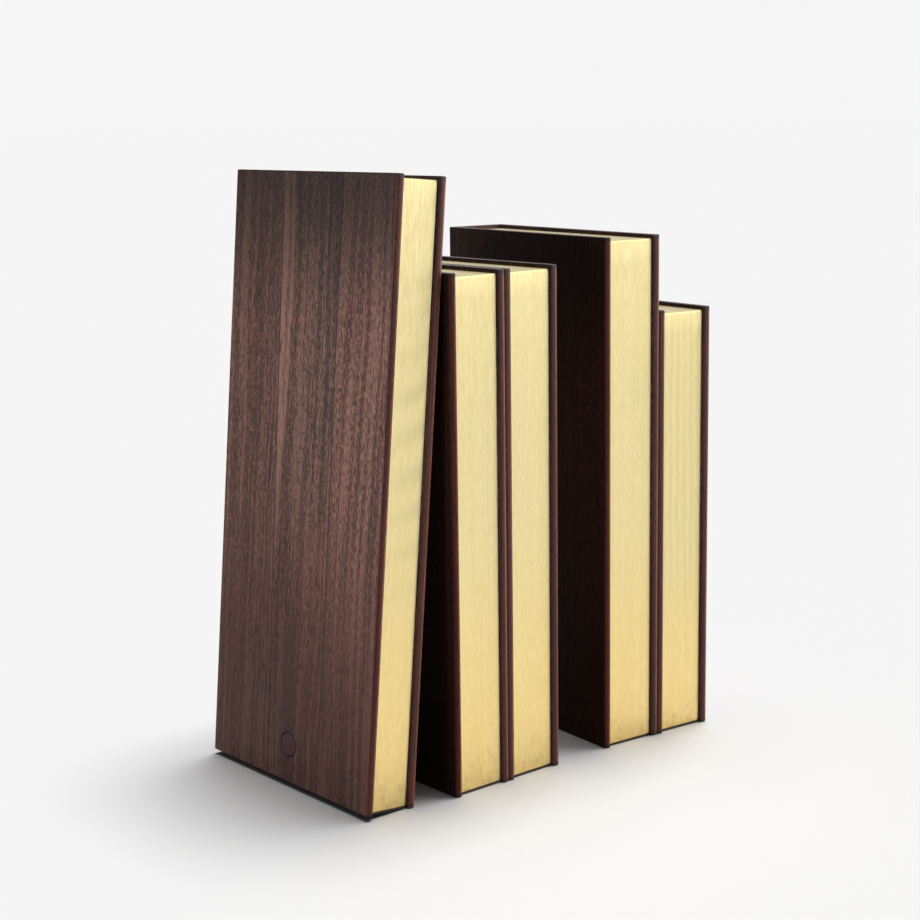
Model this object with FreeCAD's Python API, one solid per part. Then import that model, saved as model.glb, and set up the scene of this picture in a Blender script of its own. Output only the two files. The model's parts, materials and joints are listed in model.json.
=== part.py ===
"""Two book ends made as five imitation volumes, in millimetres, +Z up.

The volumes are counted from the left.  The first leans on the second; the second and third are
dowelled together as the left end; the fourth and fifth are dowelled together as the right end.
Each volume stands with its gilt fore-edge to the front (-Y) and its spine to the back (+Y).
The origin is the middle of the underside of the whole set's box.
"""
import FreeCAD, Part
import math
import os
from dataclasses import dataclass

Vector = FreeCAD.Vector

# Boards
BOARD = 4.0                  # thickness of every cover board and spine board
CROWN = 0.4                  # how far the middle of a cover board's front edge stands proud
ARRIS = 0.8                  # rounding of a cover board's edges
SPINE_ARRIS = 0.5            # rounding of the spine boards' edges

# Brass sheet folded over head, fore-edge and foot of each core
SHEET = 1.2                  # sheet thickness
FOLD = 1.0                   # outside radius of its two folds
FORE_EDGE_RECESS = 1.8       # the sheet's face behind the covers' front edges
HEAD_RECESS = 2.0            # the sheet's face below the covers' top edges
SIDE_GAP = 0.25              # slit between the sheet and each cover board

# Felt under each volume, flush with the boards' lower ends
PAD = 0.8                    # felt thickness

# Steel ballast plate in a pocket of each core, open towards the right cover board
POCKET_GAP = 0.3             # clearance round the plate's edges

# Cross dowels: through the core, blind into both cover boards
CROSS_DOWEL_D = 8.0
CROSS_DOWEL_BITE = 2.0       # depth of the blind hole in a cover board
CROSS_DOWEL_INSET = 13.0     # from the core's front and back faces to the dowel's axis
CROSS_DOWEL_RISE = 25.0      # from the volume's foot and head to the dowel's axis

# Pair dowels: through the two touching cover boards, into both cores
PAIR_DOWEL_D = 10.0
PAIR_DOWEL_DEPTH = 12.0      # depth of the hole in a core
PAIR_DOWEL_RISE = 22.0       # from the foot, and from the lower volume's head, to the axis

# Countersunk screws that hold the sheet's foot flange to the core
SCREW_D = 3.0
SCREW_HEAD_D = 5.4
SCREW_LENGTH = 16.0
SCREW_INSET = 36.0           # from the core's front and back faces to the screw's axis
SLOT_WIDTH = 0.8
SLOT_DEPTH = 0.5

# Plain ring engraved on the first volume's left cover
RING_RADIUS = 6.0            # middle of the groove
RING_WIDTH = 0.9
RING_DEPTH = 0.35
RING_RISE = 19.0             # ring's centre above the foot

# How the set stands
LEAN = 4.95                  # degrees that the first volume leans to the right
LEAN_GAP = 0.3               # between the first volume and the edge that it leans on
FIRST_SETBACK = 5.0          # first volume's front edge behind the left end's
SPAN = 33.6                  # between the two ends, at their front edges
RIGHT_TURN = -4.9            # degrees that the right end is turned on the shelf
RIGHT_SETBACK = 0.4          # right end's front left corner behind the left end's


@dataclass(frozen=True)
class Volume:
    """One imitation book: its outside sizes and its ballast plate's."""

    thickness: float
    height: float
    depth: float
    ballast: tuple           # plate's thickness, depth and height
    ballast_foot: float      # plate's lower edge above the volume's foot

    @property
    def inside(self):
        """Left and right limits of what lies between the cover boards."""
        return BOARD, self.thickness - BOARD

    @property
    def core_front(self):
        return FORE_EDGE_RECESS + SHEET

    @property
    def core_back(self):
        return self.depth - BOARD

    @property
    def middle(self):
        """Middle of the core, across and front to back."""
        return self.thickness / 2, (self.core_front + self.core_back) / 2


BALLAST = (10.0, 60.0, 120.0)    # plate of the four upright volumes
VOLUMES = {
    "first": Volume(29.0, 300.0, 129.0, (14.0, 70.0, 150.0), 100.0),
    "second": Volume(34.5, 254.5, 130.0, BALLAST, 38.0),
    "third": Volume(34.5, 254.5, 130.0, BALLAST, 38.0),
    "fourth": Volume(36.5, 265.5, 133.0, BALLAST, 38.0),
    "fifth": Volume(35.5, 226.5, 133.0, BALLAST, 38.0),
}
PAIRS = {"left_pair": ("second", "third"), "right_pair": ("fourth", "fifth")}


def block(x_span, y_span, z_span):
    """Box between three pairs of limits."""
    low = Vector(x_span[0], y_span[0], z_span[0])
    size = [span[1] - span[0] for span in (x_span, y_span, z_span)]
    return Part.makeBox(*size, low)


def rod(radius, length, start, direction):
    return Part.makeCylinder(radius, length, start, direction)


def group(solids):
    """Separate solids kept together in one node."""
    return Part.makeCompound(solids)


def without(shape, tools):
    for tool in tools:
        shape = shape.cut(tool)
    return shape


def cross_dowel_places(volume):
    """Depth and height of each cross dowel's axis."""
    depths = (volume.core_front + CROSS_DOWEL_INSET, volume.core_back - CROSS_DOWEL_INSET)
    rises = (CROSS_DOWEL_RISE, volume.height - CROSS_DOWEL_RISE)
    return [(y, z) for y in depths for z in rises]


def cross_dowels(volume):
    left = BOARD - CROSS_DOWEL_BITE
    length = volume.thickness - 2 * left
    return [rod(CROSS_DOWEL_D / 2, length, Vector(left, y, z), Vector(1, 0, 0))
            for y, z in cross_dowel_places(volume)]


def pair_dowels(left, right):
    """Dowels that join two volumes, in the left one's frame."""
    start = left.thickness - BOARD - PAIR_DOWEL_DEPTH
    length = 2 * (BOARD + PAIR_DOWEL_DEPTH)
    lower_head = min(left.height, right.height)
    depth = min(left.middle[1], right.middle[1])
    return [rod(PAIR_DOWEL_D / 2, length, Vector(start, depth, z), Vector(1, 0, 0))
            for z in (PAIR_DOWEL_RISE, lower_head - PAIR_DOWEL_RISE)]


def foot_screws(volume):
    """Countersunk wood screws with plain shanks, heads level with the flange."""
    screws = []
    for y in (volume.core_front + SCREW_INSET, volume.core_back - SCREW_INSET):
        foot = Vector(volume.middle[0], y, PAD)
        head = Part.makeCone(SCREW_HEAD_D / 2, SCREW_D / 2, SHEET, foot, Vector(0, 0, 1))
        shank = rod(SCREW_D / 2, SCREW_LENGTH - SHEET, foot + Vector(0, 0, SHEET), Vector(0, 0, 1))
        screws.append(head.fuse(shank).removeSplitter())
    return screws


def screw_slot(screw):
    """Driver slot across a screw's head."""
    box = screw.BoundBox
    return block((box.XMin, box.XMax),
                 (box.Center.y - SLOT_WIDTH / 2, box.Center.y + SLOT_WIDTH / 2),
                 (box.ZMin, box.ZMin + SLOT_DEPTH))


def cover_outline(volume):
    """A cover board's plan: a rectangle with a crowned front edge."""
    corners = [Vector(BOARD, CROWN, 0), Vector(BOARD, volume.depth, 0),
               Vector(0, volume.depth, 0), Vector(0, CROWN, 0)]
    front = Part.Arc(corners[-1], Vector(BOARD / 2, 0, 0), corners[0]).toShape()
    return Part.Face(Part.Wire([front] + Part.makePolygon(corners).Edges))


def cover_board(volume, left, holes):
    """Cover board with all its edges eased, and holes for the dowels."""
    board = cover_outline(volume).extrude(Vector(0, 0, volume.height))
    if not left:
        board = board.translated(Vector(volume.thickness - BOARD, 0, 0))
    return without(board.makeFillet(ARRIS, board.Edges), holes)


def spine_board(volume):
    board = block(volume.inside, (volume.core_back, volume.depth), (0, volume.height))
    back_edges = [edge for edge in board.Edges if edge.BoundBox.YMin > volume.depth - BOARD / 2]
    return board.makeFillet(SPINE_ARRIS, back_edges)


def ballast_plate(volume, gap=0.0):
    """Steel plate against the right cover board; with a gap it is the pocket for it."""
    thickness, depth, height = volume.ballast
    right = volume.inside[1]
    y = volume.middle[1]
    foot = volume.ballast_foot
    return block((right - thickness, right),
                 (y - depth / 2 - gap, y + depth / 2 + gap),
                 (foot - gap, foot + height + gap))


def core_box(volume, grow=0.0):
    """Core's box; grown by the sheet's thickness it is the outside of the folded sheet."""
    left, right = volume.inside
    return block((left, right),
                 (volume.core_front - grow, volume.core_back),
                 (PAD + SHEET - grow, volume.height - HEAD_RECESS - SHEET + grow))


def core(volume, holes):
    return without(core_box(volume), holes + [ballast_plate(volume, POCKET_GAP)])


def page_wrap(volume, holes):
    """Sheet folded over head, fore-edge and foot, open at both sides and at the spine."""
    outside = core_box(volume, SHEET)
    front = volume.core_front - SHEET
    folds = [edge for edge in outside.Edges
             if edge.BoundBox.YMax < front + SHEET and edge.BoundBox.ZLength < SHEET]
    sheet = outside.makeFillet(FOLD, folds).cut(core_box(volume))
    left, right = volume.inside
    clear = block((left + SIDE_GAP, right - SIDE_GAP), (0, volume.depth), (0, volume.height))
    return without(sheet.common(clear), holes)


def foot_pad(volume):
    left, right = volume.inside
    return block((left + SIDE_GAP, right - SIDE_GAP),
                 (FORE_EDGE_RECESS, volume.core_back), (0, PAD))


def engraved_ring(volume):
    """Ring-shaped cutter for the shallow groove in the left cover's outer face."""
    centre = Vector(0, volume.depth / 2, RING_RISE)
    outer = rod(RING_RADIUS + RING_WIDTH / 2, RING_DEPTH, centre, Vector(1, 0, 0))
    inner = rod(RING_RADIUS - RING_WIDTH / 2, RING_DEPTH, centre, Vector(1, 0, 0))
    return outer.cut(inner)


def volume_parts(name, volume, joining):
    """All pieces of one volume, in its own frame; joining are the pair's dowels that enter it."""
    dowels = cross_dowels(volume)
    screws = foot_screws(volume)
    left_cuts = dowels + joining
    if name == "first":
        left_cuts = left_cuts + [engraved_ring(volume)]
    parts = {
        "left_board": cover_board(volume, True, left_cuts),
        "right_board": cover_board(volume, False, dowels + joining),
        "spine_board": spine_board(volume),
        "page_wrap": page_wrap(volume, screws),
        "core": core(volume, dowels + screws + joining),
        "ballast_plate": ballast_plate(volume),
        "foot_pad": foot_pad(volume),
        "cross_dowels": group(dowels),
        "foot_screws": group([screw.cut(screw_slot(screw)) for screw in screws]),
    }
    return {f"{name}_{part}": shape for part, shape in parts.items()}


def turn(shape, centre, axis, degrees):
    turned = shape.copy()
    turned.rotate(centre, axis, degrees)
    return turned


def hinge_place():
    """Line that the first volume tips about: the centre line of its lower right edge's rounding."""
    lean = math.radians(LEAN)
    rest_height = VOLUMES["second"].height
    reach = (2 * ARRIS + LEAN_GAP + (rest_height - 2 * ARRIS) * math.sin(lean)) / math.cos(lean)
    return Vector(ARRIS - reach, FIRST_SETBACK, ARRIS)


def place_first(shape):
    """Stands the first volume beside the hinge line and leans it over."""
    hinge = hinge_place()
    moved = shape.translated(hinge - Vector(VOLUMES["first"].thickness - ARRIS, 0, ARRIS))
    return turn(moved, hinge, Vector(0, 1, 0), LEAN)


def right_corner():
    """Front left corner of the right end on the shelf."""
    x = VOLUMES["second"].thickness + VOLUMES["third"].thickness + SPAN
    return Vector(x, RIGHT_SETBACK, 0)


def place_right(shape, across):
    """Turns a piece of the right end, which starts so far across it."""
    corner = right_corner()
    return turn(shape.translated(corner + Vector(across, 0, 0)), corner, Vector(0, 0, 1), RIGHT_TURN)


def build():
    """Every node of the set, with the second volume's front left foot corner at zero."""
    nodes = {}
    for part, shape in volume_parts("first", VOLUMES["first"], []).items():
        nodes[part] = place_first(shape)
    for pair, (left_name, right_name) in PAIRS.items():
        left, right = VOLUMES[left_name], VOLUMES[right_name]
        joining = pair_dowels(left, right)
        into_right = [dowel.translated(Vector(-left.thickness, 0, 0)) for dowel in joining]
        own = {part: (shape, 0.0) for part, shape in volume_parts(left_name, left, joining).items()}
        own[f"{pair}_dowels"] = (group(joining), 0.0)
        for part, shape in volume_parts(right_name, right, into_right).items():
            own[part] = (shape, left.thickness)
        for part, (shape, across) in own.items():
            if pair == "left_pair":
                nodes[part] = shape.translated(Vector(across, 0, 0))
            else:
                nodes[part] = place_right(shape, across)
    return nodes


def shift_to_origin(nodes):
    """Move that brings the middle of the set's underside to the origin."""
    box = group(list(nodes.values())).optimalBoundingBox(False, False)
    return Vector(-box.Center.x, -box.Center.y, -box.ZMin)


NODES = build()
SHIFT = shift_to_origin(NODES)
NODES = {name: shape.translated(SHIFT) for name, shape in NODES.items()}

os.makedirs("parts", exist_ok=True)
for node_name, node_shape in NODES.items():
    node_shape.exportStep(f"parts/{node_name}.step")
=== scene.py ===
"""Finish of a pair of book ends made as imitation volumes: walnut boards and brass fore-edges.

Every length is in metres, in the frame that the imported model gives.  The volumes are counted from
the left; the first leans on the second, and the fourth and fifth stand a little turned.
"""
import json
import logging
import math
from dataclasses import dataclass, field
from enum import Enum
from typing import Any, Callable

import bpy
import numpy as np
from mathutils import Matrix, Vector

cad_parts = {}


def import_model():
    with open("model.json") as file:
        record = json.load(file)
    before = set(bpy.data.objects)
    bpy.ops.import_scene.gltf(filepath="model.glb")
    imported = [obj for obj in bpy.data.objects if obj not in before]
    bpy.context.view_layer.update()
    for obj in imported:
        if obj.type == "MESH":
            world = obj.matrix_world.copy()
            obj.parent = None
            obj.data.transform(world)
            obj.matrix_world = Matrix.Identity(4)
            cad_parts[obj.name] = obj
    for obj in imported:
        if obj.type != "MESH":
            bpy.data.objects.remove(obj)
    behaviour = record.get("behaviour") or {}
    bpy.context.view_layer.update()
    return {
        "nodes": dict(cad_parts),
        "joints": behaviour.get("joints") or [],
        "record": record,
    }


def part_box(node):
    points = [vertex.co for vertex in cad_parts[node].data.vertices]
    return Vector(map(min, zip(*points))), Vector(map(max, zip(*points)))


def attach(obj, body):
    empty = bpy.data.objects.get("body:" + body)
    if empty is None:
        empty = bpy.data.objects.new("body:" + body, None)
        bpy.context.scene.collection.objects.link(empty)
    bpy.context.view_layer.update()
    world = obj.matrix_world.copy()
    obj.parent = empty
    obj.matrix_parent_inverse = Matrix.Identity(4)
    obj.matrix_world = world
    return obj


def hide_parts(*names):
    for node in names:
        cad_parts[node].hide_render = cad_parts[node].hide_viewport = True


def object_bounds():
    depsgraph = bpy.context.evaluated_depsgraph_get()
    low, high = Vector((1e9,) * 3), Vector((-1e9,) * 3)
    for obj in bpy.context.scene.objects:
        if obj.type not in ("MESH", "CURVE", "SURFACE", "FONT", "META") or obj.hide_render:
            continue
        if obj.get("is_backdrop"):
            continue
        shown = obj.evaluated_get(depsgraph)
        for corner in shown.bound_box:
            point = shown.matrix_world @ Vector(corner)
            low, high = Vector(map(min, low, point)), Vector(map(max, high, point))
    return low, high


Triple = tuple[float, float, float]
LOG = logging.getLogger("book_ends")
MM = 0.001
HEM = 0.12 * MM             # from a rounded corner to the first point on the flat
CROWN_POINTS = 9            # points on half of a board's crowned front
CORNER_POINTS = 8           # points on a board's rounded corner
END_POINTS = 6              # levels in a board's eased end
SHADED = {"second": 0.32, "fourth": 0.60}    # left boards given painted shade, by share of colour kept


# ---- Shader maths


def paired(operation: str, swapped: bool = False) -> Callable[["Value", Any], "Value"]:
    """Makes a method that joins a Value and another operand in one Math node.

    Args:
        operation: the Math node's operation.
        swapped: puts the other operand first.
    Returns:
        The method.
    """
    def method(self: "Value", other: Any) -> "Value":
        """Joins self and other."""
        first, second = (Value(self.graph, other), self) if swapped else (self, other)
        return first.maths(operation, second)
    return method


class Value:
    """A socket, or a plain number, that Python's operators work on through Math nodes."""

    def __init__(self, graph: "Graph", source: Any) -> None:
        """Keeps the graph that new nodes go into and the socket or number itself."""
        self.graph = graph
        self.source = source

    def maths(self, operation: str, *others: Any) -> "Value":
        """Adds one Math node.

        Args:
            operation: the Math node's operation.
            others: the further operands, as Values, sockets or numbers.
        Returns:
            The node's result.
        """
        values = {i: v for i, v in enumerate((self, *others))}
        return self.graph.node("ShaderNodeMath", {"operation": operation}, values)

    __add__, __radd__ = paired("ADD"), paired("ADD", swapped=True)
    __sub__, __rsub__ = paired("SUBTRACT"), paired("SUBTRACT", swapped=True)
    __mul__ = paired("MULTIPLY")
    __truediv__ = paired("DIVIDE")
    __pow__ = paired("POWER")
    above = paired("GREATER_THAN")                       # 1 where self is greater, else 0
    most = paired("MAXIMUM")

    def size(self) -> "Value":
        """Magnitude of self."""
        return self.maths("ABSOLUTE")

    def sine(self) -> "Value":
        """Sine of self, in radians."""
        return self.maths("SINE")

    def ramp(self, start: float, end: float, smooth: bool = True) -> "Value":
        """Rises from 0 at start to 1 at end, held at both ends; start may be above end.

        Args:
            start: value of self that gives 0.
            end: value of self that gives 1.
            smooth: eases in and out instead of a straight rise.
        Returns:
            The eased value.
        """
        kind = "SMOOTHSTEP" if smooth else "LINEAR"
        flip = start > end
        low, high = (end, start) if flip else (start, end)
        span = {"Value": self, 1: low, 2: high, 3: 1.0 if flip else 0.0, 4: 0.0 if flip else 1.0}
        return self.graph.node("ShaderNodeMapRange", {"interpolation_type": kind}, span)


class Graph:
    """The node tree of a material or a world, and the one way in which nodes are added to it."""

    def __init__(self, name: str, world: bool = False) -> None:
        """Starts an empty material of that name, or an empty world."""
        self.owner = (bpy.data.worlds if world else bpy.data.materials).new(name)
        self.owner.use_nodes = True
        self.tree = self.owner.node_tree
        self.tree.nodes.clear()

    def add(self, kind: str, settings: dict[str, Any], inputs: dict[Any, Any]) -> bpy.types.Node:
        """Adds a node.

        Args:
            kind: the node's type name.
            settings: properties to set before its sockets.
            inputs: socket name or number, to a Value, a socket, a number or a colour.
        Returns:
            The node itself.
        """
        node = self.tree.nodes.new(kind)
        for key, setting in settings.items():
            setattr(node, key, setting)
        for key, given in inputs.items():
            plug = given.source if isinstance(given, Value) else given
            if isinstance(plug, bpy.types.NodeSocket):
                self.tree.links.new(plug, node.inputs[key])
            else:
                node.inputs[key].default_value = plug
        return node

    def node(self, kind: str, settings: dict[str, Any], inputs: dict[Any, Any],
             output: Any = 0) -> Value:
        """Adds a node and returns one of its outputs as a Value; the arguments are add's."""
        return Value(self, self.add(kind, settings, inputs).outputs[output])

    def attribute(self, name: str, output: str) -> Value:
        """A mesh attribute's "Vector", "Color" or "Fac" output."""
        return self.node("ShaderNodeAttribute", {"attribute_name": name}, {}, output)

    def parts(self, vector: Value) -> tuple[Value, Value, Value]:
        """The three numbers of a vector."""
        split = self.add("ShaderNodeSeparateXYZ", {}, {0: vector})
        return tuple(Value(self, out) for out in split.outputs)

    def vector(self, x: Any, y: Any, z: Any) -> Value:
        """A vector of three numbers."""
        return self.node("ShaderNodeCombineXYZ", {}, {0: x, 1: y, 2: z})

    def noise(self, where: Value, scale: Triple, detail: float = 3.0,
              roughness: float = 0.5, distortion: float = 0.0) -> Value:
        """Noise of about 0 to 1, with its own number of cells per metre along each axis.

        Args:
            where: the point, in metres.
            scale: cells per metre along x, y and z.
            detail: octaves.
            roughness: share that each octave keeps.
            distortion: how far the cells are pulled about.
        Returns:
            The noise value, eased to fill its range.
        """
        raw = self.node("ShaderNodeTexNoise", {"noise_dimensions": "3D"},
                        {"Vector": self.tinted(where, scale), "Scale": 1.0, "Detail": detail,
                         "Roughness": roughness, "Distortion": distortion}, "Fac")
        return raw.ramp(0.25, 0.75, smooth=False)

    def blend(self, share: Any, first: Any, second: Any) -> Value:
        """Colour between first, at share 0, and second, at share 1."""
        colours = [(*c, 1.0) if isinstance(c, tuple) else c for c in (first, second)]
        return self.node("ShaderNodeMix", {"data_type": "RGBA", "blend_type": "MIX"},
                         {0: share, 6: colours[0], 7: colours[1]}, 2)

    def scaled(self, colour: Value, factor: Any) -> Value:
        """A colour or vector times a number."""
        return self.node("ShaderNodeVectorMath", {"operation": "SCALE"},
                         {0: colour, "Scale": factor})

    def tinted(self, colour: Value, tint: Any) -> Value:
        """A colour or vector times another, number by number."""
        return self.node("ShaderNodeVectorMath", {"operation": "MULTIPLY"}, {0: colour, 1: tint})

    def moved(self, vector: Value, offset: Any) -> Value:
        """A vector plus another."""
        return self.node("ShaderNodeVectorMath", {"operation": "ADD"}, {0: vector, 1: offset})

    def bump(self, height: Value, depth: float, strength: float) -> Value:
        """Normal tilted by a height map.

        Args:
            height: the map.
            depth: metres of relief for a height of 1.
            strength: share of the effect.
        Returns:
            The normal.
        """
        return self.node("ShaderNodeBump", {},
                         {"Height": height, "Distance": depth, "Strength": strength})

    def surface(self, **sockets: Any) -> bpy.types.Material:
        """Ends the tree in one Principled shader.

        Args:
            sockets: Principled socket names with underscores for spaces, to values or colours.
        Returns:
            The finished material.
        """
        inputs = {name.replace("_", " "): (*v, 1.0) if isinstance(v, tuple) else v
                  for name, v in sockets.items()}
        shader = self.add("ShaderNodeBsdfPrincipled", {}, inputs)
        self.add("ShaderNodeOutputMaterial", {}, {0: shader.outputs[0]})
        return self.owner


# ---- Finishes


@dataclass(frozen=True)
class Seam:
    """Joint between two strips of veneer: its depth at the foot, and how far it drifts in a metre."""

    foot: float
    drift: float = 0.0


@dataclass(frozen=True)
class Walnut:
    """Dark stained walnut: strips edge to edge, open pores, satin lacquer, redder eased edges.

    The grain runs up the volume.  Depths are measured from the fore-edge and heights from the
    foot.  The painted sheen is paler colour painted at two thirds of the height, nearer the
    fore-edge; the head and foot are painted darker, as shade.
    """

    name: str
    seed: float
    tall: float
    seams: tuple[Seam, ...]
    tones: tuple[float, ...]
    # share of colour kept: painted shade on left boards that stand in shade
    stain_and_painted_shade: float = 1.0
    # strength of the painted sheen, and of the painted shade at head and foot
    painted_sheen: float = 0.25
    # red added everywhere; more on left boards given painted shade
    flush: float = 0.0
    gloss: float = 0.22
    sapwood: float = 0.0
    ring: Triple | None = None
    dark: Triple = (0.049, 0.0240, 0.0200)
    body: Triple = (0.120, 0.0560, 0.0440)
    pale: Triple = (0.250, 0.1290, 0.0990)
    red: Triple = (0.145, 0.0450, 0.0300)
    edge: Triple = (0.100, 0.0230, 0.0140)
    # colour of the painted highlight on the edges
    wear_and_painted_highlight: Triple = (0.330, 0.1150, 0.0780)
    pore: Triple = (0.014, 0.0070, 0.0060)
    pink: Triple = (0.340, 0.1800, 0.1320)
    cooler: Triple = (0.80, 1.00, 1.04)      # middle strip's tint
    relief: float = 0.00008                                      # grain's depth, in metres

    def material(self) -> bpy.types.Material:
        """Builds the material.

        Returns:
            A material that reads the mesh attributes "place" (metres in the volume's own axes),
            "rim" (1 on rounded edges) and "turn" (how far the surface faces right, -1 to 1).
        """
        g = Graph(self.name)
        place = g.attribute("place", "Vector")
        rim = g.attribute("rim", "Fac")
        _, depth, height = g.parts(place)
        strip, joint = self.strips(depth, height)
        where = self.strayed(g, place, strip)
        fibre = g.noise(where, (1850.0, 1600.0, 250.0), 1.0, 0.6).ramp(0.26, 0.74, smooth=False)
        hair = g.noise(where, (3000.0, 2700.0, 420.0), 0.0).ramp(0.22, 0.78, smooth=False)
        streak = g.noise(where, (400.0, 340.0, 4.5), 3.0, 0.6, 0.1).ramp(0.26, 0.74)
        broad = g.noise(where, (40.0, 36.0, 7.0), 2.0).ramp(0.2, 0.8)
        pores = self.pores(g, where)

        lively = 0.55 + height.ramp(0.10 * self.tall, 0.55 * self.tall) * 0.45
        grain = (fibre - 0.5) * 0.60 + (hair - 0.5) * 0.60 + (self.curl(g, where) - 0.5) * 0.14
        shine = 0.5 + grain * lively + (streak - 0.5) * 0.48 + (broad - 0.5) * 0.22
        colour = self.toned(g, shine + self.tone(strip), strip, height)
        if self.sapwood:
            colour = self.with_sapwood(g, colour, depth, height, streak)
        # redder towards the foot: painted shade; the broad noise adds the wood's own uneven red, and
        # the flush adds more red on boards given painted shade
        redder = height.ramp(0.62 * self.tall, 0.12 * self.tall) * 0.40 + broad * 0.15 + self.flush
        colour = g.blend(redder * (0.5 + fibre * 0.5), colour, self.red)
        dark = (pores * 0.85).most(joint * 0.90)
        if self.ring:
            dark = dark.most(self.groove(depth, height) * 0.92)
        # the wood's colour times painted light and shade
        colour = g.scaled(g.blend(dark, colour, self.pore), self.shade(depth, height))
        edge = g.scaled(self.edges(g, height), 0.50 + fibre * 0.4 + streak * 0.4)
        colour = g.blend(rim * 0.92, colour, edge)

        roughness = 0.50 + fibre * 0.12 + pores * 0.15 - rim * 0.22
        height_map = fibre * 0.35 + hair * 0.15 - pores - joint * 1.5
        return g.surface(Base_Color=colour, Roughness=roughness, Specular_IOR_Level=self.gloss,
                         Normal=g.bump(height_map, self.relief, 0.7))

    def strayed(self, g: Graph, place: Value, strip: Value) -> Value:
        """The point in the wood: its own for each board and strip, swaying a little in depth."""
        where = g.moved(place, (self.seed, 0.37 * self.seed, 0.61 * self.seed))
        where = g.moved(where, g.vector(strip * 0.731, strip * 0.293, strip * 0.517))
        sway = (g.noise(where, (9.0, 14.0, 9.0), 1.0) - 0.5) * 0.006
        return g.moved(where, g.vector(0.0, sway, 0.0))

    def toned(self, g: Graph, figure: Value, strip: Value, height: Value) -> Value:
        """Colour from dark through body to pale as the figure rises, the middle strip cooler."""
        colour = g.blend(figure.ramp(0.16, 0.50, smooth=False), self.dark, self.body)
        colour = g.blend(figure.ramp(0.50, 0.86, smooth=False), colour, self.pale)
        middle = strip.above(0.5) - strip.above(1.5)
        middle = middle * height.ramp(0.3 * self.tall, 0.6 * self.tall)
        return g.blend(middle * 0.45, colour, g.tinted(colour, self.cooler))

    def edges(self, g: Graph, height: Value) -> Value:
        """Colour of the rounded edges: red, with a painted highlight where they face right, dark at
        both ends.
        """
        ends = height.ramp(self.tall - 0.0012, self.tall - 0.0030) * height.ramp(0.0010, 0.0028)
        turn = g.attribute("turn", "Fac")
        # painted highlight on the part of each edge that faces right
        wear_and_painted_highlight = turn.ramp(0.03, 0.19) * turn.ramp(0.85, 0.45)
        return g.blend(ends, self.dark, g.blend(wear_and_painted_highlight, self.edge, self.wear_and_painted_highlight))

    def groove(self, depth: Value, height: Value) -> Value:
        """Mask of the engraved ring: near 1 within the groove."""
        across, up, radius = self.ring
        out = ((depth - across) ** 2 + (height - up) ** 2) ** 0.5
        return (out - radius).size().ramp(0.00065, 0.00038)

    def strips(self, depth: Value, height: Value) -> tuple[Value, Value]:
        """Number of the strip that a point lies on, counted from 0, and the mask of the joints."""
        number = depth * 0.0
        joint = depth * 0.0
        for seam in self.seams:
            across = depth - height * seam.drift - seam.foot
            number = number + across.above(0.0)
            joint = joint.most(across.size().ramp(0.00055, 0.00015))
        return number, joint

    def tone(self, strip: Value) -> Value:
        """Lightness that each strip adds; tones are given for strip 0, 1, 2 and so on."""
        total = strip * 0.0 + self.tones[0]
        for number, (before, after) in enumerate(zip(self.tones[:-1], self.tones[1:])):
            total = total + strip.above(number + 0.5) * (after - before)
        return total

    def curl(self, g: Graph, where: Value) -> Value:
        """Short slanting ripples across the grain, in patches."""
        x, y, z = g.parts(where)
        slanted = g.vector(x, y * 0.86 + z * 0.5, z * 0.86 - y * 0.5)
        ripple = g.noise(slanted, (300.0, 620.0, 170.0), 1.0)
        patch = g.noise(where, (26.0, 26.0, 15.0), 1.0)
        return 0.5 + (ripple - 0.5) * patch.ramp(0.35, 0.85) * 1.6

    def pores(self, g: Graph, where: Value) -> Value:
        """Short dark dashes along the grain where stretched noise is high, denser in patches."""
        speck = g.noise(where, (2300.0, 2100.0, 170.0), 1.0, 0.5)
        patch = g.noise(where, (70.0, 70.0, 18.0), 1.0)
        return speck.ramp(0.60, 0.80) * (0.40 + patch * 0.60)

    def shade(self, depth: Value, height: Value) -> Value:
        """Painted light and shade: darker at head and foot, a paler painted sheen between them."""
        head = height.ramp(0.99 * self.tall, 0.72 * self.tall)
        foot = height.ramp(-0.08 * self.tall, 0.58 * self.tall)
        front = depth.ramp(0.105, 0.012)
        painted_sheen = head * foot
        level = 1.0 - self.painted_sheen * 1.9 + painted_sheen * self.painted_sheen * 1.75
        level = level + foot.ramp(0.5, 0.0) * self.painted_sheen * 0.6
        # paler near the fore-edge in the painted sheen, all times the painted shade of a left board
        # that stands in shade
        return (level + front * painted_sheen * self.painted_sheen * 1.45) * self.stain_and_painted_shade

    def with_sapwood(self, g: Graph, colour: Value, depth: Value, height: Value,
                     streak: Value) -> Value:
        """Adds one paler, pinker streak beside the last seam, narrower towards the foot."""
        seam = self.seams[-1]
        behind = seam.foot + height * seam.drift - depth
        width = 0.0030 + height.ramp(0.38 * self.tall, 0.80 * self.tall) * 0.0070
        inside = (behind / width).ramp(1.15, 0.75) * behind.ramp(-0.0002, 0.0008)
        fade = height.ramp(0.30 * self.tall, 0.62 * self.tall)
        lines = 0.35 + streak.ramp(0.30, 0.70) * 0.65
        return g.blend(inside * fade * lines * self.sapwood, colour, self.pink)


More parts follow.
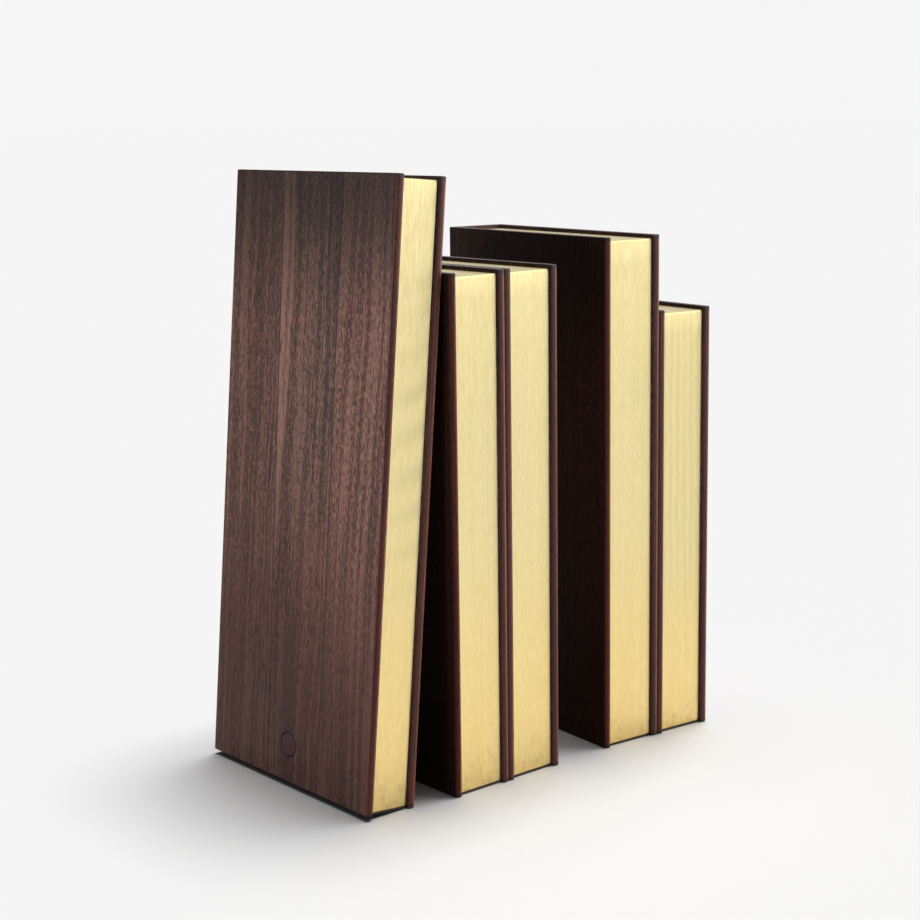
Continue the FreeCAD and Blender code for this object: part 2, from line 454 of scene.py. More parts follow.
@dataclass(frozen=True)
class Brass:
    """Brushed brass sheet with a thin tarnish, its colour paler at the head and warmer at the foot,
    with painted shade towards the head and painted highlights along its edges.
    """

    name: str
    seed: float
    tall: float
    bands: float = 0.0
    ripples: float = 0.0
    pale: Triple = (0.97, 0.855, 0.455)
    warm: Triple = (1.0, 0.770, 0.325)
    straw: Triple = (0.86, 0.79, 0.44)
    tan: Triple = (0.78, 0.58, 0.25)
    slate: Triple = (0.55, 0.50, 0.27)
    # colour of the painted highlight along the sheet's edges
    lit: Triple = (1.0, 0.97, 0.76)
    stain_and_painted_shade: Triple = (0.62, 0.42, 0.17)
    dimmed: float = 0.36                                 # painted shade: share of colour lost towards the head
    scallop: float = 0.019                               # metres from one to the next
    stripe: float = 0.0046
    relief: float = 0.00002

    def material(self) -> bpy.types.Material:
        """Builds the material.

        Returns:
            A material that reads "place" and "rim" like the walnut's.
        """
        g = Graph(self.name)
        place = g.attribute("place", "Vector")
        rim = g.attribute("rim", "Fac")
        across, _, height = g.parts(place)
        where = g.moved(place, (self.seed, 0.41 * self.seed, 0.77 * self.seed))
        brush = g.noise(where, (1500.0, 160.0, 120.0), 1.0, 0.6).ramp(0.2, 0.8, smooth=False)
        hair = g.noise(where, (3200.0, 420.0, 420.0), 0.0).ramp(0.2, 0.8, smooth=False)
        streak = g.noise(where, (520.0, 24.0, 5.0), 2.0, 0.55).ramp(0.2, 0.8)
        cloud = g.noise(where, (60.0, 45.0, 22.0), 2.0, 0.55, 0.3)
        patch = g.noise(where, (130.0, 90.0, 70.0), 2.0)
        middle = height.ramp(0.26 * self.tall, 0.52 * self.tall) \
            * height.ramp(0.90 * self.tall, 0.64 * self.tall)

        colour = g.blend(height.ramp(0.05 * self.tall, 0.60 * self.tall), self.warm, self.pale)
        dull = cloud.ramp(0.40, 0.9) * (0.12 + middle * 0.22) + patch * 0.08
        colour = g.blend(dull, colour, self.straw)
        if self.ripples:
            figure = self.ripple(across, height, cloud) * middle * self.ripples
            colour = g.blend(figure, colour, self.slate)
        if self.bands:
            colour = g.blend(self.band(across, height, cloud) * self.bands, colour, self.slate)
        wear_and_painted_highlight = brush * 0.24 + hair * 0.20 + streak * 0.14
        colour = g.blend(wear_and_painted_highlight, colour, self.tan)
        spots = g.noise(where, (330.0, 260.0, 240.0), 2.0).ramp(0.45, 0.85)
        colour = g.blend(spots * height.ramp(0.030, 0.002) * 0.35, colour, self.stain_and_painted_shade)
        # painted shade, darker towards the head
        colour = g.scaled(colour, 1.0 - height.ramp(-0.03, 0.32) * self.dimmed)
        # painted highlight along the edges
        colour = g.blend(rim * 0.85, colour, self.lit)
        roughness = 0.36 + brush * 0.10 + dull * 0.12 - rim * 0.08
        normal = g.bump(brush * 0.6 + hair * 0.4, self.relief, 0.5)
        return g.surface(Base_Color=colour, Metallic=0.97, Roughness=roughness, Normal=normal)

    def ripple(self, across: Value, height: Value, cloud: Value) -> Value:
        """Soft slanting scallops, one above the other, darker towards the right."""
        phase = (height - across * 0.45) * (math.tau / self.scallop) + cloud * 2.2
        return ((phase.sine() * 0.5 + 0.5) ** 1.5) * (0.35 + across.ramp(0.006, 0.024) * 0.65)

    def band(self, across: Value, height: Value, cloud: Value) -> Value:
        """Soft upright bands that spread a little towards the foot."""
        spread = 1.0 + (self.tall - height) * 0.35
        phase = across * (math.tau / self.stripe) / spread + cloud * 1.6
        return (phase.sine() * 0.5 + 0.5) * height.ramp(0.18 * self.tall, 0.42 * self.tall)


@dataclass(frozen=True)
class Plain:
    """A hidden or small piece's finish: one base colour worked over with two scales of noise."""

    name: str
    first: Triple
    second: Triple
    cells: Triple
    metallic: float
    roughness: float
    relief: float

    def material(self) -> bpy.types.Material:
        """Builds the material on Object coordinates.

        Returns:
            The material.
        """
        g = Graph(self.name)
        where = g.node("ShaderNodeTexCoord", {}, {}, "Object")
        broad = g.noise(where, self.cells, 4.0, 0.6, 0.3)
        fine = g.noise(where, tuple(8.0 * c for c in self.cells), 2.0)
        colour = g.blend(broad * 0.7 + fine * 0.3, self.first, self.second)
        roughness = self.roughness + fine * 0.15
        normal = g.bump(broad * 0.4 + fine * 0.6, self.relief, 0.8)
        return g.surface(Base_Color=colour, Metallic=self.metallic, Roughness=roughness,
                         Normal=normal)


class HiddenFinish(Enum):
    """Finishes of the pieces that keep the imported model's own shape, by the record's slot."""

    core_timber = Plain("core_timber", (0.30, 0.19, 0.10), (0.44, 0.30, 0.17),
                        (120.0, 120.0, 9.0), 0.0, 0.62, 0.00010)
    ballast_steel = Plain("ballast_steel", (0.10, 0.10, 0.105), (0.20, 0.19, 0.18),
                          (60.0, 60.0, 60.0), 0.9, 0.42, 0.00006)
    dowel_beech = Plain("dowel_beech", (0.52, 0.36, 0.21), (0.62, 0.46, 0.29),
                        (14.0, 300.0, 300.0), 0.0, 0.55, 0.00005)
    screw_brass = Plain("screw_brass", (0.62, 0.46, 0.18), (0.72, 0.58, 0.28),
                        (400.0, 400.0, 900.0), 1.0, 0.30, 0.00002)


# ---- Surfaces


@dataclass
class Skin:
    """A closed surface in a volume's own axes: points, faces, and how rounded each point is."""

    points: np.ndarray
    faces: list[tuple[int, ...]]
    rim: np.ndarray

    def faced_outward(self) -> "Skin":
        """Turns every face round if the enclosed volume comes out negative.

        The volume is the sum, over a fan of triangles in each face, of the triple product of
        its corners, divided by six.
        """
        total = 0.0
        for count in sorted({len(face) for face in self.faces}):
            loops = np.array([face for face in self.faces if len(face) == count])
            corners = self.points[loops]
            for k in range(1, count - 1):
                cross = np.cross(corners[:, k], corners[:, k + 1])
                total += float(np.einsum("ij,ij->", corners[:, 0], cross)) / 6.0
        if total < 0:
            self.faces = [face[::-1] for face in self.faces]
        return self


def spaced(low: float, high: float, step: float, hem: float) -> np.ndarray:
    """Places from low to high at about one step, with one more place a hem inside each end."""
    count = max(2, int(round((high - low - 2 * hem) / step)) + 1)
    return np.concatenate(([low], np.linspace(low + hem, high - hem, count), [high]))


def tube_faces(rings: int, around: int) -> np.ndarray:
    """Four-sided faces between neighbouring rings of a closed tube, ring after ring."""
    ring, step = np.meshgrid(np.arange(rings - 1), np.arange(around), indexing="ij")
    here = ring * around + step
    beside = ring * around + (step + 1) % around
    return np.stack([here, beside, beside + around, here + around], axis=-1).reshape(-1, 4)


@dataclass(frozen=True)
class Ring:
    """Plain engraved ring: a groove of round section about a centre on a board's left face."""

    depth_place: float
    height_place: float
    radius: float = 6.0 * MM
    width: float = 0.9 * MM
    sink: float = 0.35 * MM

    @classmethod
    def low_on_board(cls, low: np.ndarray, high: np.ndarray) -> "Ring":
        """The ring 19 mm above a board's foot, halfway along its depth."""
        return cls((low[1] + high[1]) / 2, low[2] + 19.0 * MM)

    def dense(self, centre: float) -> np.ndarray:
        """Close places across the ring, about its centre along one axis."""
        reach = self.radius + 2.0 * self.width
        return centre + np.linspace(-reach, reach, 97)

    def carve(self, points: np.ndarray, face: float) -> np.ndarray:
        """Sinks the points near the circle.

        A point sinks by the groove's depth times one plus the cosine of its distance from the
        circle, over two, out to half the groove's width.

        Args:
            points: the board's points.
            face: the x of its left face.
        Returns:
            The points, with the groove.
        """
        out = np.hypot(points[:, 1] - self.depth_place, points[:, 2] - self.height_place)
        share = np.clip(np.abs(out - self.radius) / (self.width / 2), 0, 1)
        on_face = points[:, 0] < face + 0.2 * MM
        points[:, 0] += np.where(on_face, self.sink * (1 + np.cos(np.pi * share)) / 2, 0.0)
        return points


@dataclass(frozen=True)
class Slab:
    """An upright board with rounded corners in plan, a crowned front and eased ends.

    Its plan is a rectangle whose front is an arc that stands proud by the crown, and whose
    corners are rounded.  At the foot and head the plan shrinks inward by r(1 - cos a) while the
    height runs r(1 - sin a) from the end, for an angle a from a right angle to zero, which
    rounds the ends with radius r.
    """

    low: np.ndarray
    high: np.ndarray
    corner: float
    ends: float
    crown: float = 0.0
    step: float = 0.012
    ring: Ring | None = None

    def front(self, half: float) -> tuple[np.ndarray, np.ndarray]:
        """Right half of the front: the crown's arc, then the corner's, about the board's middle.

        The crown's radius is (half width squared plus crown squared) over twice the crown, and
        the corner's circle touches it from inside, so both share one normal where they meet.

        Args:
            half: half of the board's width.
        Returns:
            Points and the angle of each point's normal, from straight ahead to the right.
        """
        bend = (half ** 2 + self.crown ** 2) / (2 * self.crown) if self.crown else 1000 * half
        inner = half - self.corner
        back = bend - math.sqrt((bend - self.corner) ** 2 - inner ** 2)
        meet = math.asin(inner / (bend - self.corner))
        ahead = np.linspace(0, meet, CROWN_POINTS)
        arc = np.stack([bend * np.sin(ahead), bend - bend * np.cos(ahead)], -1)
        turn = np.linspace(meet, np.pi / 2, CORNER_POINTS)[1:]
        corner = np.stack([inner + self.corner * np.sin(turn),
                           back - self.corner * np.cos(turn)], -1)
        return np.concatenate([arc, corner]), np.concatenate([ahead, turn])

    def half_plan(self) -> tuple[np.ndarray, np.ndarray, np.ndarray]:
        """Right half of the plan, from the middle of the front to the middle of the back.

        Returns:
            Points about the middle of the width, outward normals, and how curved each is.
        """
        half = (self.high[0] - self.low[0]) / 2
        y0, y1 = self.low[1], self.high[1]
        front, angle = self.front(half)
        front_normal = np.stack([np.sin(angle), -np.cos(angle)], -1)
        turn = np.linspace(0, np.pi / 2, CORNER_POINTS)
        rear = np.stack([half - self.corner + self.corner * np.cos(turn),
                         y1 - self.corner + self.corner * np.sin(turn)], -1)
        rear_normal = np.stack([np.cos(turn), np.sin(turn)], -1)
        front[:, 1] += y0
        side = spaced(front[-1, 1], rear[0, 1], self.step, HEM)[1:-1]
        if self.ring is not None:
            extra = self.ring.dense(self.ring.depth_place)
            far = side[np.abs(side - self.ring.depth_place) > np.ptp(extra) / 2 + HEM]
            side = np.sort(np.concatenate([far, extra]))
        flat = np.stack([np.full(len(side), half), side], -1)
        tail = np.array([[max(half - self.corner - HEM, half * 0.02), y1], [0.0, y1]])
        points = np.concatenate([front, flat, rear, tail])
        normals = np.concatenate([front_normal, np.tile([1.0, 0.0], (len(side), 1)), rear_normal,
                                  np.tile([0.0, 1.0], (2, 1))])
        nose = 1.0 if self.crown else 0.0
        curved = np.concatenate([np.full(CROWN_POINTS, nose), np.ones(CORNER_POINTS - 1),
                                 np.zeros(len(side)), np.ones(CORNER_POINTS), np.zeros(2)])
        return points, normals, curved

    def skin(self) -> Skin:
        """Carries the whole plan up the board and closes both ends.

        Returns:
            The closed surface.
        """
        points, normals, curved = self.half_plan()
        mirror = np.array([-1.0, 1.0])
        plan = np.concatenate([points, points[-2:0:-1] * mirror])
        outward = np.concatenate([normals, normals[-2:0:-1] * mirror])
        curved = np.concatenate([curved, curved[-2:0:-1]])
        angle = np.linspace(np.pi / 2, 0, END_POINTS)
        inset = self.ends * (1 - np.cos(angle))
        rise = self.ends * (1 - np.sin(angle))
        z0, z1 = self.low[2], self.high[2]
        middle = spaced(z0 + self.ends, z1 - self.ends, 2 * self.step, HEM)[1:-1]
        if self.ring is not None:
            extra = self.ring.dense(self.ring.height_place)
            far = middle[np.abs(middle - self.ring.height_place) > np.ptp(extra) / 2]
            middle = np.sort(np.concatenate([far, extra]))
        levels = np.concatenate([z0 + rise, middle, (z1 - rise)[::-1]])
        insets = np.concatenate([inset, np.zeros(len(middle)), inset[::-1]])
        eased = np.concatenate([np.ones(END_POINTS), np.zeros(len(middle)), np.ones(END_POINTS)])
        centre = (self.low[0] + self.high[0]) / 2
        flat = plan[None] - insets[:, None, None] * outward[None]
        count = len(plan)
        grid = np.empty((len(levels), count, 3))
        grid[..., 0] = flat[..., 0] + centre
        grid[..., 1] = flat[..., 1]
        grid[..., 2] = levels[:, None]
        rim = np.maximum(curved[None], eased[:, None]).ravel()
        verts = grid.reshape(-1, 3)
        if self.ring is not None:
            verts = self.ring.carve(verts, self.low[0])
        faces = [tuple(f) for f in tube_faces(len(levels), count).tolist()]
        last = (len(levels) - 1) * count
        faces += self.cap(len(points), count, 0, True) + self.cap(len(points), count, last, False)
        return Skin(verts, faces, rim).faced_outward()

    @staticmethod
    def cap(half: int, count: int, start: int, down: bool) -> list[tuple[int, ...]]:
        """Closes one end with faces between each point of the right half and its mirror point.

        Args:
            half: points in the right half, both middles included.
            count: points in the whole ring.
            start: number of the ring's first point.
            down: whether the end is the foot.
        Returns:
            The faces: four-sided, with a triangle at the middle of the front and of the back.
        """
        right = np.arange(half - 1)
        left = (count - right) % count
        loops = np.stack([left, right, right + 1, (left - 1) % count], -1) + start
        loops = loops[:, ::-1] if down else loops
        middles = [tuple(dict.fromkeys(loops[k].tolist())) for k in (0, -1)]
        return middles + [tuple(loop) for loop in loops[1:-1].tolist()]


@dataclass(frozen=True)
class FoldedSheet:
    """One sheet folded over head, fore-edge and foot: a U in side view, open to the spine.

    The outer line runs forward along the head, down the front and back along the foot, with
    quarter circles at the two folds; the inner line lies one thickness inside it.  The section
    between the lines is a rectangle with small round corners, carried along them.
    """

    low: np.ndarray
    high: np.ndarray
    thickness: float
    fold: float
    inner_fold: float = 0.1 * MM
    eased: float = 0.18 * MM
    step: float = 0.010

    def line(self, offset: float, radius: float) -> np.ndarray:
        """Side view of one face of the sheet.

        Args:
            offset: how far inside the sheet's outer face.
            radius: radius of the line's two folds.
        Returns:
            Points (y, z) from the head's back end to the foot's back end.
        """
        front = self.low[1] + offset
        head, foot = self.high[2] - offset, self.low[2] + offset
        back = self.high[1]
        runs = int((back - self.low[1]) / self.step)
        drop = int((self.high[2] - self.low[2]) / self.step)
        turn = np.linspace(0, np.pi / 2, 7)
        along = np.linspace(back, front + radius, runs)
        top = np.stack([along, np.full(runs, head)], -1)
        first = np.stack([front + radius - radius * np.sin(turn),
                          head - radius + radius * np.cos(turn)], -1)
        down = np.linspace(head - radius, foot + radius, drop)
        face = np.stack([np.full(drop, front), down], -1)
        second = np.stack([front + radius - radius * np.cos(turn),
                           foot + radius - radius * np.sin(turn)], -1)
        base = np.stack([along[::-1], np.full(runs, foot)], -1)
        return np.concatenate([top[:-1], first, face[1:-1], second, base[1:]])

    def section(self) -> tuple[np.ndarray, np.ndarray, np.ndarray]:
        """Closed section: share of the thickness, x, and 1 on its rounded corners."""
        turn = np.linspace(0, np.pi / 2, 4)
        q = self.eased
        t, x0, x1 = self.thickness, self.low[0], self.high[0]
        hem = q + np.array([0.10, 0.75]) * MM
        wide = np.concatenate([x0 + hem, np.linspace(x0, x1, 7)[1:-1], (x1 - hem)[::-1]])
        flat = np.zeros(len(wide))
        # 0.8 on the points just inside each side edge widens the painted highlight along the sheet's
        # edges
        flat[[0, -1]] = 0.8
        outer = np.stack([np.zeros(len(wide)), wide], -1)
        inner = np.stack([np.full(len(wide), t), wide[::-1]], -1)
        first = np.stack([q - q * np.cos(turn), x1 - q + q * np.sin(turn)], -1)
        second = np.stack([t - q + q * np.sin(turn), x1 - q + q * np.cos(turn)], -1)
        third = np.stack([t - q + q * np.cos(turn), x0 + q - q * np.sin(turn)], -1)
        fourth = np.stack([q - q * np.sin(turn), x0 + q - q * np.cos(turn)], -1)
        loop = np.concatenate([outer, first, second, inner, third, fourth])
        curved = np.concatenate([flat, np.ones(8), flat, np.ones(8)])
        return loop[:, 0] / t, loop[:, 1], curved

    def skin(self) -> Skin:
        """Carries the section along both lines and closes the two back ends.

        Returns:
            The closed surface.
        """
        outer = self.line(0.0, self.fold)
        inner = self.line(self.thickness, self.inner_fold)
        share, across, curved = self.section()
        side = outer[:, None] + share[None, :, None] * (inner - outer)[:, None]
        grid = np.empty((len(outer), len(share), 3))
        grid[..., 0] = across[None]
        grid[..., 1:] = side
        faces = [tuple(f) for f in tube_faces(len(outer), len(share)).tolist()]
        count = len(share)
        last = (len(outer) - 1) * count
        faces.append(tuple(range(count - 1, -1, -1)))
        faces.append(tuple(range(last, last + count)))
        rim = np.tile(curved, (len(outer), 1))
        return Skin(grid.reshape(-1, 3), faces, rim.ravel()).faced_outward()


# ---- Volumes


@dataclass(frozen=True)
class Stance:
    """How a group of volumes stands: its own axes, as columns, and the body it rides on.

    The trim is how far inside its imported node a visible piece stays.
    """

    axes: np.ndarray
    body: str
    trim: float = 0.01 * MM

    def outward(self, points: np.ndarray) -> np.ndarray:
        """Points of the group's axes, in the frame's axes."""
        return points @ self.axes.T

    def limits(self, node: str) -> tuple[np.ndarray, np.ndarray]:
        """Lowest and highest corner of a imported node, along the group's own axes."""
        mesh = bpy.data.objects[node].data
        flat = np.empty(3 * len(mesh.vertices))
        mesh.vertices.foreach_get("co", flat)
        points = flat.reshape(-1, 3) @ self.axes
        return points.min(0) + self.trim, points.max(0) - self.trim


@dataclass
class Volume:
    """One imitation book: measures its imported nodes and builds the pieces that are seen."""

    name: str
    stance: Stance
    left: Walnut
    right: Walnut
    spine: Walnut
    brass: Brass
    crown: float = 0.4 * MM
    arris: float = 0.8 * MM
    ends: float = 0.72 * MM
    spine_arris: float = 0.5 * MM
    spine_ends: float = 0.2 * MM
    pad_corner: float = 1.5 * MM
    pad_ends: float = 0.25 * MM
    sheet: float = 1.2 * MM
    fold: float = 1.0 * MM
    foot: np.ndarray = field(default_factory=lambda: np.zeros(3))

    def build(self) -> None:
        """Makes and dresses the boards, the page wrap and the foot pad."""
        self.foot = self.stance.limits(f"{self.name}_left_board")[0]
        self.board("left_board", self.left, self.left.ring is not None)
        self.board("right_board", self.right, False)
        self.spine_board()
        self.page_wrap()
        self.foot_pad()

    def board(self, part: str, wood: Walnut, engraved: bool) -> None:
        """One cover board with a crowned front edge, plain or with the ring."""
        low, high = self.stance.limits(f"{self.name}_{part}")
        ring = Ring.low_on_board(low, high) if engraved else None
        slab = Slab(low, high, self.arris, self.ends, self.crown, ring=ring)
        self.place(part, slab.skin(), wood.material(), "walnut_boards")

    def spine_board(self) -> None:
        """The board that closes the back, between the covers."""
        low, high = self.stance.limits(f"{self.name}_spine_board")
        slab = Slab(low, high, self.spine_arris, self.spine_ends)
        self.place("spine_board", slab.skin(), self.spine.material(), "walnut_boards")

    def page_wrap(self) -> None:
        """The brass sheet over head, fore-edge and foot."""
        low, high = self.stance.limits(f"{self.name}_page_wrap")
        skin = FoldedSheet(low, high, self.sheet, self.fold).skin()
        self.place("page_wrap", skin, self.brass.material(), "brass_sheet")

    def foot_pad(self) -> None:
        """The felt under the volume."""
        low, high = self.stance.limits(f"{self.name}_foot_pad")
        slab = Slab(low, high, self.pad_corner, self.pad_ends, step=0.004)
        self.place("foot_pad", slab.skin(), felt(), "foot_felt")

    def place(self, part: str, skin: Skin, material: bpy.types.Material, slot: str) -> None:
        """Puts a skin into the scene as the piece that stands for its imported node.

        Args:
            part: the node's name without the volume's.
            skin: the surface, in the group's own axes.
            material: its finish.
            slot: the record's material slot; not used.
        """
        node = f"{self.name}_{part}"
        mesh = bpy.data.meshes.new(f"{node}_shape")
        mesh.from_pydata(self.stance.outward(skin.points).tolist(), [], skin.faces)
        mesh.shade_smooth()
        own = mesh.attributes.new("place", "FLOAT_VECTOR", "POINT")
        own.data.foreach_set("vector", (skin.points - self.foot).astype(np.float32).ravel())
        rim = mesh.attributes.new("rim", "FLOAT", "POINT")
        rim.data.foreach_set("value", skin.rim.astype(np.float32))
        normals = np.empty(3 * len(mesh.vertices))
        mesh.vertices.foreach_get("normal", normals)
        # how far each point faces right; the walnut paints a highlight on its edges from it
        turn = mesh.attributes.new("turn", "FLOAT", "POINT")
        turn.data.foreach_set("value", (normals.reshape(-1, 3) @ self.stance.axes[:, 0])
                              .astype(np.float32))
        mesh.materials.append(material)
        piece = bpy.data.objects.new(f"{node}_finish", mesh)
        bpy.context.scene.collection.objects.link(piece)
        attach(piece, self.stance.body)
        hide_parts(node)
        LOG.info("%s: %d faces", piece.name, len(mesh.polygons))


def felt() -> bpy.types.Material:
    """The one felt material, made when first asked for."""
    found = bpy.data.materials.get("foot_felt")
    if found:
        return found
    return Plain("foot_felt", (0.16, 0.11, 0.05), (0.30, 0.22, 0.11),
                 (900.0, 900.0, 900.0), 0.0, 0.85, 0.0002).material()


# ---- Studio


class Lit(Enum):
    """Which objects a light falls on."""

    ALL = "all"
    FLOOR = "floor"
    SET = "set"


@dataclass(frozen=True)
class Light:
    """A soft light aimed at the set from a bearing round it.

    A light with a side is a square softbox of that side, at a distance; one without is a far
    light whose softness is its angle.  Azimuth 0 stands in front (-Y) and 90 on the right (+X).
    """

    name: str
    azimuth: float
    elevation: float
    power: float
    softness: float = 0.0
    side: float = 0.0
    distance: float = 2.0
    falls_on: Lit = Lit.ALL

    def build(self, target: Vector, floor: bpy.types.Object) -> None:
        """Makes the light.

        Args:
            target: the point it faces.
            floor: the object that the light may leave out, or keep to.
        """
        turn, lift = math.radians(self.azimuth), math.radians(self.elevation)
        aside = Vector((math.sin(turn) * math.cos(lift), -math.cos(turn) * math.cos(lift),
                        math.sin(lift)))
        lamp = bpy.data.lights.new(self.name, "AREA" if self.side else "SUN")
        if self.side:
            lamp.shape = "SQUARE"
            lamp.size = self.side
        else:
            lamp.angle = math.radians(self.softness)
        lamp.energy = self.power
        light = bpy.data.objects.new(self.name, lamp)
        light.location = target + aside * self.distance
        light.visible_camera = False
        light.rotation_euler = aside.to_track_quat("Z", "Y").to_euler()
        bpy.context.scene.collection.objects.link(light)
        if self.falls_on is not Lit.ALL:
            receivers = bpy.data.collections.new(f"{self.name}_falls_on")
            receivers.objects.link(floor)
            state = "INCLUDE" if self.falls_on is Lit.FLOOR else "EXCLUDE"
            receivers.collection_objects[0].light_linking.link_state = state
            light.light_linking.receiver_collection = receivers


@dataclass(frozen=True)
class Studio:
    """Pale floor, even sky, soft lights and the camera."""

    backdrop: float = 0.92                               # what shows behind the set
    sky: float = 0.07                                    # what the sky lends the set
    floor_tone: float = 0.80
    floor_radius: float = 60.0
    ground: tuple[float, float] = (-0.5456, -0.6359)     # camera from the left end's front corner
    eye: float = 0.3261                                  # camera above the shelf
    azimuth: float = -40.39
    pitch: float = 9.35
    roll: float = -0.804
    focal: float = 1.9745                                # focal length over the sensor's width
    aside: float = 0.01720                               # lens shift across
    rise: float = -0.04838                               # lens shift up
    lights: tuple[Light, ...] = (
        Light("key", 93.0, 76.5, 2.50, softness=24.0),
        Light("floor_wash", 140.0, 82.0, 0.96, softness=40.0, falls_on=Lit.FLOOR),
        Light("side", -97.0, 12.0, 2.25, side=0.4, distance=0.62, falls_on=Lit.SET),
        Light("front", 46.0, 33.0, 42.0, side=2.4, distance=1.8, falls_on=Lit.SET),
        Light("strip", 80.0, 12.0, 2.4, side=0.45, distance=1.2, falls_on=Lit.SET),
        Light("back", 140.0, 18.0, 5.5, side=1.4, distance=1.7, falls_on=Lit.SET),
    )

    def build(self) -> None:
        """Makes everything round the set."""
        low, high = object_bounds()
        middle = (Vector(low) + Vector(high)) / 2
        floor = self.floor()
        for light in self.lights:
            light.build(middle, floor)
        self.world()
        self.camera()
        bpy.context.scene.view_settings.view_transform = "Standard"

    def floor(self) -> bpy.types.Object:
        """A wide round floor, its rings closer together near the set.

        Returns:
            The floor.
        """
        rings, around = 24, 96
        radii = np.geomspace(0.05, self.floor_radius, rings)
        turn = np.linspace(0, 2 * np.pi, around, endpoint=False)
        grid = np.stack([np.outer(radii, np.cos(turn)), np.outer(radii, np.sin(turn)),
                         np.zeros((rings, around))], -1).reshape(-1, 3)
        faces = [tuple(f) for f in tube_faces(rings, around)[:, ::-1].tolist()]
        faces.append(tuple(range(around)))
        mesh = bpy.data.meshes.new("floor")
        mesh.from_pydata(grid.tolist(), [], faces)
        g = Graph("studio_floor")
        tone = (self.floor_tone,) * 3
        mesh.materials.append(g.surface(Base_Color=tone, Roughness=1.0, Specular_IOR_Level=0.0))
        floor = bpy.data.objects.new("floor", mesh)
        floor.visible_diffuse = False
        bpy.context.scene.collection.objects.link(floor)
        floor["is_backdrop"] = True
        return floor

    def world(self) -> None:
        """An even sky: the backdrop's tone where it shows, and dimmer where it lights the set."""
        g = Graph("sky", world=True)
        seen = g.node("ShaderNodeLightPath", {}, {}, "Is Camera Ray")
        strength = g.node("ShaderNodeMapRange", {},
                          {"Value": seen, "To Min": self.sky, "To Max": self.backdrop})
        back = g.add("ShaderNodeBackground", {},
                     {"Color": (1.0, 1.0, 1.0, 1.0), "Strength": strength})
        g.add("ShaderNodeOutputWorld", {}, {0: back.outputs[0]})
        bpy.context.scene.world = g.owner

    def camera(self) -> None:
        """A camera that looks down on the left end's front corner from the left."""
        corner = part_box("second_left_board")[0]
        turn, pitch, roll = (math.radians(v) for v in (self.azimuth, self.pitch, self.roll))
        forward = Vector((-math.sin(turn) * math.cos(pitch), math.cos(turn) * math.cos(pitch),
                          -math.sin(pitch)))
        level = Vector((math.cos(turn), math.sin(turn), 0.0))
        upright = level.cross(forward)
        across = level * math.cos(roll) + upright * math.sin(roll)
        up = upright * math.cos(roll) - level * math.sin(roll)
        lens = bpy.data.cameras.new("camera")
        lens.sensor_width = 36.0
        lens.lens = self.focal * lens.sensor_width
        lens.shift_x = self.aside
        lens.shift_y = self.rise
        lens.clip_end = 200.0
        camera = bpy.data.objects.new("camera", lens)
        place = Vector((corner.x + self.ground[0], corner.y + self.ground[1], self.eye))
        axes = Matrix((across, up, -forward)).transposed()
        camera.matrix_world = Matrix.Translation(place) @ axes.to_4x4()
        bpy.context.scene.collection.objects.link(camera)
        bpy.context.scene.camera = camera


# ---- The set


def turn_about(axis: int, angle: float) -> np.ndarray:
    """Rotation by an angle about x (0), y (1) or z (2), as a matrix of columns."""
    c, s = math.cos(angle), math.sin(angle)
    first, second = [(1, 2), (2, 0), (0, 1)][axis]
    matrix = np.eye(3)
    matrix[first, first] = matrix[second, second] = c
    matrix[second, first], matrix[first, second] = s, -s
    return matrix


def stances(frame: dict[str, Any]) -> dict[str, Stance]:
    """Axes of the three groups, from the lean joint's range and the right end's book face.

    Args:
    Returns:
        A stance for each body.
    """
    tip = next(j for j in frame["joints"] if j["name"] == "lean_tip")
    lean = math.radians(-tip["range_deg"][0])
    face = next(m for m in frame["record"]["mounts"] if m["name"] == "right_end_book_face")
    turn = math.atan2(-face["axis"][1], -face["axis"][0])
    return {"leaning_volume": Stance(turn_about(1, lean), "leaning_volume"),
            "left_end": Stance(turn_about(2, 0.0), "left_end"),
            "right_end": Stance(turn_about(2, turn), "right_end")}


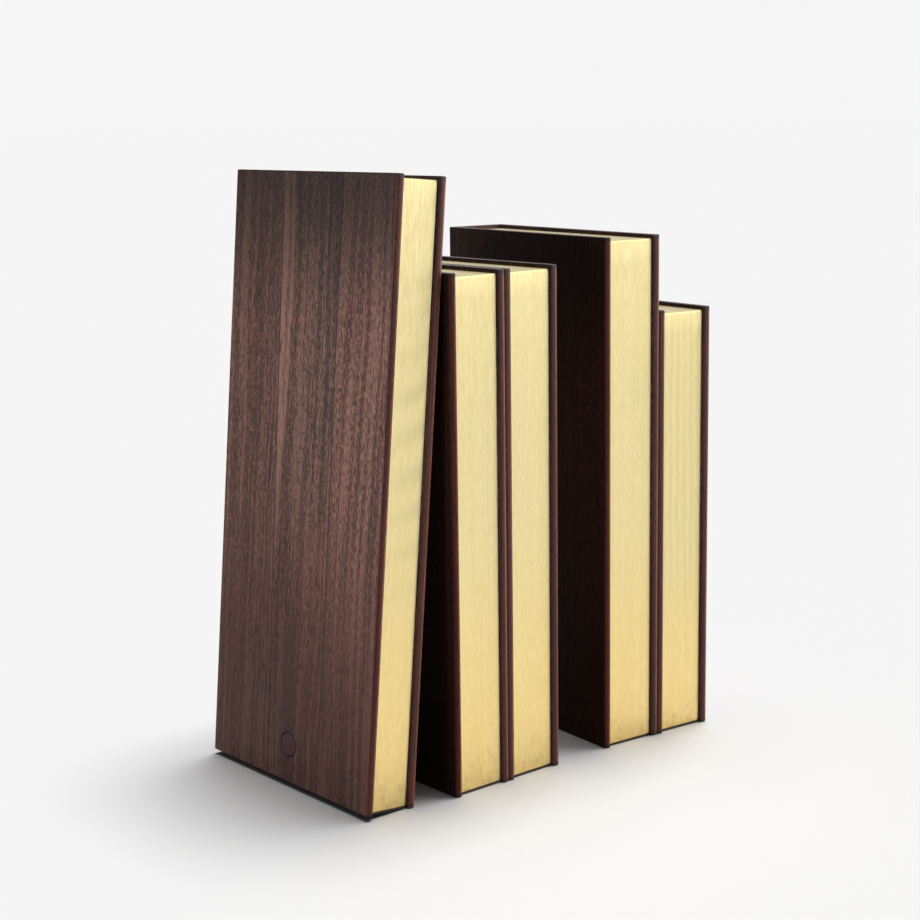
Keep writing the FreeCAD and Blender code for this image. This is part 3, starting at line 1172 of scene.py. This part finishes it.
def walnut_set(name: str, seed: float, tall: float, stain_and_painted_shade: float) -> dict[str, Walnut]:
    """Three boards' woods for one volume, with joints and tones drawn from a seed.

    Args:
        name: the volume's name.
        seed: start of the draw.
        tall: the boards' height.
        stain_and_painted_shade: share of colour that the left board keeps, as painted shade.
    Returns:
        A wood for the left, right and spine boards.
    """
    draw = np.random.default_rng(int(seed * 100))
    woods = {}
    for number, part in enumerate(("left", "right", "spine")):
        # left boards that stand in shade get painted shade: a darker colour, more red and less gloss
        shaded = part == "left" and stain_and_painted_shade < 1.0
        seams = tuple(Seam(float(draw.uniform(*reach)), float(draw.uniform(-0.01, 0.02)))
                      for reach in ((0.030, 0.050), (0.078, 0.100)))
        tones = tuple(float(tone) for tone in draw.uniform(-0.07, 0.05, 3))
        woods[part] = Walnut(f"walnut_{name}_{part}", seed + 0.83 * number, tall, seams, tones,
                             stain_and_painted_shade=stain_and_painted_shade if part == "left" else 1.0,
                             flush=0.55 if shaded else 0.15, gloss=0.10 if shaded else 0.28)
    return woods


def ringed_wood(low: np.ndarray, high: np.ndarray) -> Walnut:
    """The first volume's left board, with its own joints, a sapwood streak and the ring.

    Args:
        low: the board's lowest corner, in the volume's own axes.
        high: its highest corner.
    Returns:
        The wood.
    """
    ring = Ring.low_on_board(low, high)
    # a stronger painted sheen on this board
    return Walnut("walnut_first_left", 1.7, float(high[2] - low[2]),
                  (Seam(0.0398, 0.003), Seam(0.0818, 0.020)), (0.05, -0.03, -0.01), painted_sheen=0.36,
                  sapwood=0.8,
                  ring=(ring.depth_place - low[1], ring.height_place - low[2], ring.radius))


def dress_hidden(frame: dict[str, Any]) -> None:
    """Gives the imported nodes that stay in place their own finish, by material slot."""
    finishes = {member.name: member.value.material() for member in HiddenFinish}
    for row in frame["record"]["subparts"]:
        if row["material_slot"] in finishes:
            node = frame["nodes"][row["node"]]
            node.data.materials.clear()
            node.data.materials.append(finishes[row["material_slot"]])


def main() -> None:
    """Builds the volumes, the finishes and the studio, in order."""
    logging.basicConfig(level=logging.INFO, format="%(message)s")
    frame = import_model()
    stance = stances(frame)
    dress_hidden(frame)
    plans = {"first": "leaning_volume", "second": "left_end", "third": "left_end",
             "fourth": "right_end", "fifth": "right_end"}
    for number, (name, body) in enumerate(plans.items()):
        low, high = stance[body].limits(f"{name}_left_board")
        tall = float(high[2] - low[2])
        woods = walnut_set(name, 1.7 + 2.31 * number, tall, SHADED.get(name, 1.0))
        brass = Brass(f"brass_{name}", 0.9 + 1.37 * number, tall,
                      bands=0.26 if name == "fifth" else 0.0,
                      ripples=0.42 if name == "first" else 0.0)
        left = ringed_wood(low, high) if name == "first" else woods["left"]
        Volume(name, stance[body], left, woods["right"], woods["spine"], brass).build()
    Studio().build()


if __name__ == "__main__":
    main()
